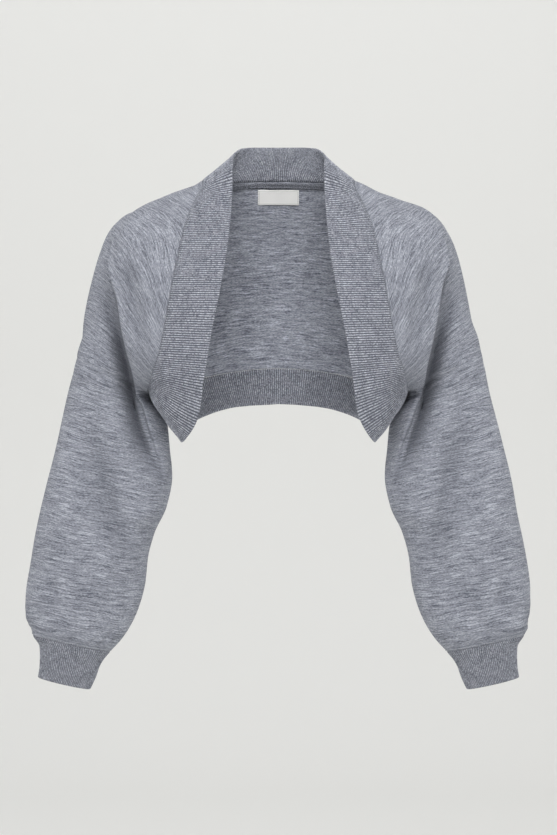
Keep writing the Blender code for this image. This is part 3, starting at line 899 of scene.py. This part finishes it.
def band_form(rows=11):
    at = np.linspace(0, seam_run[-1], half_ribs * RIB_COLUMNS + 1)
    start = along_seam(seam, at)
    station = along_seam(seam_stations[:, None], at)[:, 0]
    table = np.array([(*edge.point, edge.bulge) for edge in BAND_EDGE], float)
    ends = smooth_through([edge.station for edge in BAND_EDGE], table, station)
    end, bulge = ends[:, :3], ends[:, 3]
    middle = (start + end) / 2
    outward = np.stack([middle[:, 0], middle[:, 1] - 5, np.zeros(len(middle))], axis=-1)
    across = unit(end - start)
    outward = unit(outward - across * np.sum(outward * across, axis=1, keepdims=True))
    width = np.linalg.norm(end - start, axis=1)
    share = band_shares(width, rows)[..., None]
    points = start[:, None] + (end - start)[:, None] * share
    points = points + outward[:, None] * bulge[:, None, None] * 4 * share * (1 - share)
    other = points[-2::-1] * [-1, 1, 1]
    whole = np.concatenate([points, other])
    return whole.transpose(1, 0, 2)[::-1], at


band_grid, band_at = band_form()
band_panel = Panel(band_grid, closed_rows=len(band_grid))
band_normals = band_panel.normals()
print("band grid:", band_grid.shape[:2], "with", 2 * half_ribs, "ribs")

# %% [markdown]
# Where two walls meet at an angle, both end on the plane that halves the angle. That only works if
# they use one shared direction, so it is found here, once, for every seam.

# %% Shared directions along the seams
EASING = 15  # columns of the band on each side that a direction is averaged over


def eased(values, reach):
    """A running average, with the ends held."""
    padded = np.concatenate([np.repeat(values[:1], reach, 0), values, np.repeat(values[-1:], reach, 0)])
    total = np.cumsum(np.concatenate([np.zeros((1, values.shape[1])), padded]), axis=0)
    return unit(total[2 * reach + 1:] - total[:-2 * reach - 1])


half = len(band_at)
shared = eased(unit(along_seam(seam_normals, band_at) + band_normals[-1, :half]), EASING)


def shared_at(distance):
    return unit(np.stack([np.interp(distance, band_at, shared[:, k]) for k in range(3)], axis=-1))


side = unit(sleeve_normals[CLOSED - 1:, -1] + back_normals[:, 0])
sizes = np.cumsum([0] + [len(stretch[0]) for stretch in stretches])
on_neck, on_shoulder, on_front, on_hem = (
    shared_at(seam_run[a:b]) for a, b in zip(sizes[:-1], sizes[1:])
)


def mirror_across(values):
    return values * [-1, 1, 1]


def seam_back_directions():
    normals = back_normals.copy()
    normals[:, 0], normals[:, -1] = side, mirror_across(side)
    normals[-1, MIDDLE::-1], normals[-1, MIDDLE:] = on_neck, mirror_across(on_neck)
    normals[0, :MIDDLE + 1], normals[0, :MIDDLE - 1:-1] = on_hem, mirror_across(on_hem)
    return normals


print("directions shared at", len(shared), "places of the half seam")

# %% [markdown]
# ## Making the back
# The wearer sees the knit's smooth face outside and its rows of bumps inside. The panel swells
# a little here and there, but not at its seams.

# %% Back
JERSEY_WALL = 2.0


def rim_fade(panel, reach, sides):
    """0 on the named sides of a grid and 1 well inside it, with distances in millimetres."""
    rows = arc_lengths(panel.grid)
    columns = arc_lengths(panel.grid.transpose(1, 0, 2)).T
    fade = np.ones(panel.index.shape)
    if "columns" in sides:
        fade *= smooth_step(np.minimum(rows, rows[:, -1:] - rows) / reach)
    if "first_row" in sides:
        fade *= smooth_step(columns / reach)
    if "last_row" in sides:
        fade *= smooth_step((columns[-1:] - columns) / reach)
    return fade


def make_back():
    x, z = back_grid[..., 0], back_grid[..., 2]
    fade = rim_fade(back_panel, 16, ("columns", "first_row", "last_row"))
    back_panel.moved(uneven(x, z, 1.3) * fade, back_normals)
    normals = back_panel.normals()
    edge = seam_back_directions()
    for place in ((slice(None), 0), (slice(None), -1), (0, slice(None)), (-1, slice(None))):
        normals[place] = edge[place]
    across = arc_lengths(back_grid)
    up = arc_lengths(back_grid.transpose(1, 0, 2)).T[:, MIDDLE:MIDDLE + 1]
    knit = np.stack([across - across[:, MIDDLE:MIDDLE + 1], up + 0 * across], axis=-1)
    back_panel.drawn_back(("first_row", "last_row", "first_column", "last_column"))
    return cloth("back_panel", back_panel, normals, JERSEY_WALL / 2, knit, face, purl)


back = make_back()
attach(back, "root")
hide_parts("back")

# %% [markdown]
# ## Making the sleeves
# Both sleeves start from the same form. Each gets its own creases, a low swell, and small gathers
# where the full sleeve is linked to the narrow cuff. The courses of the yoke bend down towards the
# band, so the map of stitches is turned there.

# %% Sleeves
GATHER_SPACING = 11.5
GATHER_HEIGHT = 0.9
GATHER_REACH = 20.0
YOKE_TURN = 0.0030


def gathers(run, up, shift):
    """Small uneven folds that stand on the cuff's seam and die away above it."""
    wave = np.cos(2 * np.pi * run / GATHER_SPACING + 1.4 * np.sin(run / 31 + shift))
    return GATHER_HEIGHT * wave * np.exp(-up / GATHER_REACH) * smooth_step(up / 5)


def make_sleeve(name, creases, shift, mirrored):
    panel = Panel(sleeve_form, CLOSED)
    grid = panel.grid
    x, z = grid[..., 0].copy(), grid[..., 2].copy()
    run = arc_lengths(grid)
    outer_run = arc_lengths(grid[:, OUTER_COLUMN][None])[0][:, None]
    is_front = np.arange(grid.shape[1])[None] <= OUTER_COLUMN
    outwards = np.where(is_front, -1, 1)[..., None] * np.array([0, 1.0, 0])
    fade = rim_fade(panel, 13, ("columns", "first_row", "last_row"))
    depth = np.zeros(x.shape)
    for crease in creases:
        on_side = is_front if crease.side == "front" else ~is_front
        depth += np.where(on_side, crease_height(x, z, crease), 0)
    swell = uneven(run, outer_run, 0.9, shift) + gathers(run, outer_run, shift)
    panel.moved(swell * fade, sleeve_normals)
    panel.moved(depth * fade, np.broadcast_to(outwards, grid.shape))
    normals = panel.normals()
    normals[CLOSED - 1:, -1] = side
    normals[-1] = on_shoulder[::-1]
    normals[CLOSED - 1:, 0] = on_front[::-1]
    normals[CLOSED - 1, -1] = normals[CLOSED - 1, 0]
    normals[0] = cuff_seam_directions(arc_lengths(grid[:1])[0])
    run = arc_lengths(grid)
    across = run[:, OUTER_COLUMN:OUTER_COLUMN + 1] - run
    turned = smooth_step((places[:, None] - UNDERARM) / 5) * np.maximum(across - 40, 0) ** 2
    knit = np.stack([across, outer_run + YOKE_TURN * turned], axis=-1)
    panel.drawn_back(("first_row", "last_row", "first_column", "last_column"))
    # Painted shade: the share by which the wool is darkened, in the crease troughs and beside the main
    # fold.
    painted_shade = np.clip(-depth * fade / 15, 0, 1) + beside_fold(SLEEVE, places)
    painted_shade = np.clip(painted_shade, 0, 1)
    return cloth(name, panel, normals, JERSEY_WALL / 2, knit, face, purl, mirrored, painted_shade)


# %% [markdown]
# A cuff is a short tube of rib. Its rings are read from their own table, and then spread evenly
# round, so that all its ribs are the same width.

# %% Cuffs
CUFF_RELIEF = 0.36
CUFF_ROWS = 26


def even_ring(line, count):
    """The same line with evenly spaced points."""
    run = arc_lengths(line[None])[0]
    at = np.linspace(0, run[-1], count)
    return np.stack([np.interp(at, run, line[:, k]) for k in range(3)], axis=-1)


def cuff_form():
    places_down = np.linspace(0, len(CUFF) - 1, CUFF_ROWS)
    rings = fine_courses(CUFF, places_down)
    length = arc_lengths(rings[:1])[0, -1]
    ribs = int(round(length / CUFF_RIB))
    grid = np.stack([even_ring(ring, ribs * RIB_COLUMNS + 1) for ring in rings])
    lines = arc_lengths(grid.transpose(1, 0, 2))
    near = RIB_WALL / 2 * (1 - np.sqrt(1 - EDGE_ROUNDING**2))
    rounded = []
    for column, run in zip(grid.transpose(1, 0, 2), lines):
        at = np.concatenate([np.linspace(0, run[-1] - near[-1], CUFF_ROWS)[:-1], run[-1] - near[::-1]])
        rounded.append(np.stack([np.interp(at, run, column[:, k]) for k in range(3)], axis=-1))
    return np.stack(rounded, axis=1)[::-1]


cuff_grid = cuff_form()
cuff_panel = Panel(cuff_grid, closed_rows=len(cuff_grid))
cuff_normals = cuff_panel.normals()
sleeve_ring, cuff_ring = arc_lengths(sleeve_form[:1])[0], arc_lengths(cuff_grid[-1:])[0]


def ring_values(share, ring, values):
    return np.stack([np.interp(share, ring / ring[-1], values[:, k]) for k in range(3)], axis=-1)


def cuff_seam_directions(run):
    """The direction that halves the angle between sleeve and cuff, at places round their seam."""
    share = run / run[-1]
    on_sleeve = ring_values(share, sleeve_ring, sleeve_normals[0])
    both = on_sleeve + ring_values(share, cuff_ring, cuff_normals[-1])
    return unit(both)


def edge_wall(rows):
    """Half the wall, less in the first rows, where the free edge is rounded."""
    half_wall = np.full(rows, RIB_WALL / 2)
    half_wall[:len(EDGE_ROUNDING)] *= EDGE_ROUNDING
    return half_wall[:, None]


def make_cuff(name, mirrored):
    panel = Panel(cuff_grid, closed_rows=len(cuff_grid))
    columns = np.arange(cuff_grid.shape[1])
    up = arc_lengths(cuff_grid.transpose(1, 0, 2)).T
    relief = CUFF_RELIEF * np.cos(2 * np.pi * columns / RIB_COLUMNS)[None]
    fade = smooth_step((up[-1:] - up) / 3) * (0.5 + 0.5 * smooth_step(up / 3))
    panel.moved(relief * fade, cuff_normals)
    normals = cuff_normals.copy()
    normals[-1] = cuff_seam_directions(cuff_ring)
    across = columns[None] * CUFF_RIB / RIB_COLUMNS
    knit = np.stack([across + 0 * up, up], axis=-1)
    panel.drawn_back(("last_row",))
    half_wall = edge_wall(len(cuff_grid))
    return cloth(name, panel, normals, half_wall, knit, cuff_face, cuff_back, mirrored)


for side_name, creases, shift, mirrored in (
    ("left", LEFT_CREASES, 0.0, False),
    ("right", RIGHT_CREASES, 2.3, True),
):
    sleeve = make_sleeve(f"sleeve_{side_name}", creases, shift, mirrored)
    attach(sleeve, "root")
    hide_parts(f"sleeve_and_front_{side_name}")
    cuff = make_cuff(f"cuff_rib_{side_name}", mirrored)
    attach(cuff, "root")
    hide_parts(f"cuff_{side_name}")

# %% [markdown]
# ## Making the band
# The ribs stand up as ridges on both sides of the band, the outside's ridges being the inside's
# furrows. They flatten at the seam, where they are linked, and at the free edge, which rolls over.

# %% Band


def make_band():
    columns = np.arange(band_grid.shape[1])
    up = arc_lengths(band_grid.transpose(1, 0, 2)).T
    to_seam = up[-1:] - up
    relief = RIB_RELIEF * np.cos(2 * np.pi * columns / RIB_COLUMNS)[None]
    fade = smooth_step(to_seam / 4) * (0.35 + 0.65 * smooth_step(up / 4))
    swell = uneven(columns[None] * 0.5, up * 3, 0.5) * smooth_step(to_seam / 15)
    lift = 0.5 * np.exp(-(up / 3.0) ** 2)
    band_panel.moved(relief * fade + swell + lift, band_normals)
    normals = band_normals.copy()
    normals[-1, :half] = shared
    normals[-1, half - 1:] = mirror_across(shared[::-1])
    across = columns[None] * BAND_RIB / RIB_COLUMNS
    knit = np.stack([across + 0 * up, up], axis=-1)
    band_panel.drawn_back(("last_row",))
    half_wall = edge_wall(len(band_grid))
    return cloth("opening_band", band_panel, normals, half_wall, knit, band_face, band_back)


band = make_band()
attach(band, "root")
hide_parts("rib_band")

# %% [markdown]
# ## The label and the linked neck seam
# A woven label is stitched flat inside the back of the neck, just under the ridge of loops where
# the band was linked on. It stays bare. It lies on the back, so its points are the back's own,
# moved inwards.

# %% Points that lie inside the back
LABEL_WIDTH, LABEL_HEIGHT, LABEL_DROP = 52.0, 18.5, 9.2
LABEL_WALL = 0.8
LYING_GAP = 0.35


def lying_inside(across, drops, wall):
    """A grid on the inside of the back, at distances across and down from its neck edge."""
    points = np.zeros((len(drops), len(across), 3))
    for i, x in enumerate(across):
        line = back_panel.grid[:, ::-1]
        depth = np.array([np.interp(x, row[:, 0], row[:, 1]) for row in line])
        height = np.array([np.interp(x, row[:, 0], row[:, 2]) for row in line])
        z = height[-1] - drops
        points[:, i] = np.stack([np.full(len(drops), x), np.interp(z, height, depth), z], axis=-1)
    panel = Panel(points)
    panel.grid -= panel.normals() * (JERSEY_WALL / 2 + LYING_GAP + wall / 2)
    return panel


print("the label hangs", LABEL_DROP, "mm below the seam")

# %% Woven label
LABEL_WHITE = (0.97, 0.965, 0.945, 1)
LABEL_LINE = (0.50, 0.50, 0.48, 1)
LINE_INSET, LINE_WIDTH = 1.7, 0.28


def label_finish():
    finish = Finish("label_satin", roughness=0.62, specular=0.35)
    across, up = finish.stitch_map()
    to_side = (across - LABEL_WIDTH / 2).maths("ABSOLUTE") * -1 + LABEL_WIDTH / 2
    to_end = (up - LABEL_HEIGHT / 2).maths("ABSOLUTE") * -1 + LABEL_HEIGHT / 2
    nearest = to_side.maths("MINIMUM", to_end)
    line = 1 - ((nearest - LINE_INSET).maths("ABSOLUTE")).ramp(LINE_WIDTH * 0.5, LINE_WIDTH * 1.5)
    threads = finish.noise(across / 0.9, up / 0.25, 3.0)
    colour = finish.mix(line * 0.45 + (threads - 0.5) * 0.25, LABEL_WHITE, LABEL_LINE)
    finish.feed("Base Color", colour)
    twill = ((across + up) * (2 * np.pi / 0.5)).maths("SINE")
    finish.feed("Normal", finish.bump(twill * 0.5 + threads, 0.12, 0.6))
    return finish.material


def make_label():
    across = np.linspace(LABEL_WIDTH / 2, -LABEL_WIDTH / 2, 53)
    drops = LABEL_DROP + LABEL_HEIGHT * np.linspace(1, 0, 20)
    panel = lying_inside(across, drops, LABEL_WALL)
    normals = panel.normals()
    knit = np.stack(np.broadcast_arrays(
        across[None] + LABEL_WIDTH / 2, LABEL_DROP + LABEL_HEIGHT - drops[:, None]
    ), axis=-1)
    half_wall = np.full(panel.index.shape, LABEL_WALL / 2)
    for rim in ((0, slice(None)), (-1, slice(None)), (slice(None), 0), (slice(None), -1)):
        half_wall[rim] *= 0.45
    satin = label_finish()
    return cloth("woven_label", panel, normals, half_wall, knit, satin, satin), panel, normals


label, label_panel, label_normals = make_label()
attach(label, "root")
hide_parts("neck_label")

# %% [markdown]
# Stitches that show one by one are small shapes: a loop of yarn is a thin ring, drawn out
# sideways, and a stitch is a short round stroke. Each is modelled once, and its copies are set
# along a seam as one mesh, a few dozen faces each.

# %% One loop and one stroke of yarn
def yarn_finish(name, colour):
    finish = Finish(name, roughness=0.9, sheen=0.2)
    place = finish.add("ShaderNodeTexCoord", output=3)
    settings = {"Vector": place, "Scale": 620.0, "Detail": 2.0}
    fibres = finish.add("ShaderNodeTexNoise", inputs=settings)
    dark, pale = shaded(colour, 0.6), shaded(colour, 1.35)
    finish.feed("Base Color", finish.mix(fibres.ramp(0.3, 0.7), dark, pale))
    finish.feed("Normal", finish.bump(fibres, 0.2, 0.5))
    return finish.material


def taken_shape(piece):
    """The points and faces of a piece that was modelled, which is then removed."""
    points = np.array([vertex.co for vertex in piece.data.vertices], float)
    faces = [list(face.vertices) for face in piece.data.polygons]
    bpy.data.objects.remove(piece)
    return points, faces


def loop_shape():
    bpy.ops.object.select_all(action="DESELECT")
    bpy.ops.mesh.primitive_torus_add(
        major_segments=10, minor_segments=5, major_radius=1.15, minor_radius=0.5
    )
    bpy.ops.object.mode_set(mode="EDIT")
    bpy.ops.transform.resize(value=(1.25, 0.95, 0.85))
    bpy.ops.object.mode_set(mode="OBJECT")
    return taken_shape(bpy.context.object)


def stroke_shape():
    bpy.ops.object.select_all(action="DESELECT")
    bpy.ops.mesh.primitive_uv_sphere_add(segments=7, ring_count=5, radius=1)
    bpy.ops.object.mode_set(mode="EDIT")
    bpy.ops.transform.resize(value=(1, 0.4, 0.4))
    bpy.ops.transform.rotate(value=np.pi / 2, orient_axis="X", center_override=(0, 0, 0))
    bpy.ops.object.mode_set(mode="OBJECT")
    return taken_shape(bpy.context.object)


LOOP, STROKE = loop_shape(), stroke_shape()
print("a loop has", len(LOOP[1]), "faces and a stroke", len(STROKE[1]))


# %% Setting copies along a seam
def set_stitches(name, shape, frames, finish, mirrored=False):
    """One mesh of many copies: each frame is a place, then what the shape's X, Y and Z become."""
    points, faces = shape
    all_points, all_faces = [], []
    for number, (place, x, y, z) in enumerate(frames):
        copy = points @ np.array([x, y, z]) + place
        all_points.append(copy * [-1, 1, 1] if mirrored else copy)
        ordered = [face[::-1] if mirrored else face for face in faces]
        all_faces += [[corner + number * len(points) for corner in face] for face in ordered]
    mesh = bpy.data.meshes.new(name)
    mesh.from_pydata((np.concatenate(all_points) * MM).tolist(), [], all_faces)
    mesh.materials.append(finish)
    mesh.shade_smooth()
    piece = bpy.data.objects.new(name, mesh)
    bpy.context.collection.objects.link(piece)
    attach(piece, "root")
    print(name, "has", len(frames), "stitches")
    return piece


YARN = yarn_finish("linking_yarn", (0.27, 0.283, 0.325))
PALE_YARN = yarn_finish("pale_stitches", (0.40, 0.41, 0.45))
LABEL_THREAD = yarn_finish("label_thread", (0.62, 0.62, 0.60))

# %% [markdown]
# The seam at the back of the neck turns inwards as a soft ridge. Two rows of linked loops stand on
# it, the upper one flat and the lower one open. The dark gaps between them are the ridge, whose
# wool is painted darker as painted shade.

# %% Neck ridge and its loops
RIDGE_TOP, RIDGE_HEIGHT, RIDGE_WALL = 0.6, 7.0, 1.4
RIDGE_REACH = 0.955  # of the neck edge's half width
LOOP_PITCH = 2.9


def make_ridge():
    reach = RIDGE_REACH * neck_edge[-1, 0]
    across = np.linspace(reach, -reach, 181)
    drops = RIDGE_TOP + RIDGE_HEIGHT * np.linspace(1, 0, 12)
    panel = lying_inside(across, drops, RIDGE_WALL)
    normals = panel.normals()
    share = np.linspace(1, 0, 12)[:, None]
    ripple = 0.15 * np.cos(across[None] * 2 * np.pi / LOOP_PITCH)
    bulge = 0.7 * np.exp(-((share - 0.18) / 0.16) ** 2) + ripple
    panel.grid -= normals * bulge[..., None] * smooth_step(np.minimum(share, 1 - share) * 8)[..., None]
    knit = np.stack(np.broadcast_arrays(across[None] + reach, RIDGE_HEIGHT * (1 - share)), axis=-1)
    half_wall = np.full(panel.index.shape, RIDGE_WALL / 2)
    half_wall[0] *= 0.4
    half_wall[-1] *= 0.4
    return cloth("neck_ridge", panel, normals, half_wall, knit, ridge_purl, ridge_purl), panel, normals


def frames_on(panel, normals, row, pitch, lean, size, lift):
    """Frames for stitches set along one row of a panel, on its inner side."""
    line, out = panel.grid[row], normals[row]
    run = arc_lengths(line[None])[0]
    frames = []
    for number, at in enumerate(np.arange(pitch / 2, run[-1], pitch)):
        place = np.array([np.interp(at, run, line[:, k]) for k in range(3)])
        z = -unit(np.array([np.interp(at, run, out[:, k]) for k in range(3)]))
        ahead = np.array([np.interp(min(at + 0.5, run[-1]), run, line[:, k]) for k in range(3)])
        behind = np.array([np.interp(at - 0.5, run, line[:, k]) for k in range(3)])
        x = unit(ahead - behind)
        y = np.cross(z, x)
        turn = lean * (1 if number % 2 else -1) + 0.12 * np.sin(number * 1.7)
        grown = size * (1 + 0.12 * np.sin(number * 2.3 + row))
        ahead_way = np.cos(turn) * x + np.sin(turn) * y
        side_way = np.cos(turn) * y - np.sin(turn) * x
        frames.append((place + z * lift, ahead_way * grown, side_way * grown, z * grown))
    return frames


ridge, ridge_panel, ridge_normals = make_ridge()
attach(ridge, "root")
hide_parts("neck_seam")
upper = frames_on(ridge_panel, ridge_normals, 9, LOOP_PITCH, 0.1, 0.85, 1.3)
lower = frames_on(ridge_panel, ridge_normals, 4, LOOP_PITCH, 0.35, 1.08, 1.0)
loops = set_stitches("neck_loops", LOOP, upper + lower, YARN)

# %% Stitches that hold the label
THREAD_SIZE, THREAD_LIFT = 0.7, 0.45
corner_frames = []
for column in (1, -2):
    for row in range(2, 18, 3):
        place, out = label_panel.grid[row, column], -label_normals[row, column]
        along_label = np.array([1.0, 0, 0])
        up_label = np.cross(out, along_label)
        ways = (along_label * THREAD_SIZE, up_label * THREAD_SIZE, out * THREAD_SIZE)
        corner_frames.append((place + out * THREAD_LIFT, *ways))
stitches = set_stitches("label_stitches", STROKE, corner_frames, LABEL_THREAD)

# %% [markdown]
# The cuffs are linked on from the outside, stitch by stitch, and their small pale strokes show as a
# dotted line above the rib.

# %% Cuff linking
def ring_frames(line, out, pitch, size, lean, lift):
    run = arc_lengths(line[None])[0]
    frames = []
    for number, at in enumerate(np.arange(pitch / 2, run[-1], pitch)):
        place = np.array([np.interp(at, run, line[:, k]) for k in range(3)])
        z = unit(np.array([np.interp(at, run, out[:, k]) for k in range(3)]))
        ahead = np.array([np.interp((at + 0.5) % run[-1], run, line[:, k]) for k in range(3)])
        x = unit(ahead - place)
        y = np.cross(z, x)
        turn = lean + 0.2 * np.sin(number * 1.9)
        grown = size * (1 + 0.15 * np.sin(number * 2.7))
        along, aside = np.cos(turn) * x + np.sin(turn) * y, np.cos(turn) * y - np.sin(turn) * x
        frames.append((place + z * lift, along * grown, aside * grown, z * grown))
    return frames


for side_name, mirrored in (("left", False), ("right", True)):
    line, out = sleeve_form[1], sleeve_normals[1]
    frames = ring_frames(line, out, CUFF_RIB, 0.95, 0.9, JERSEY_WALL / 2 + 0.15)
    linking = set_stitches(f"cuff_linking_{side_name}", STROKE, frames, PALE_YARN, mirrored)
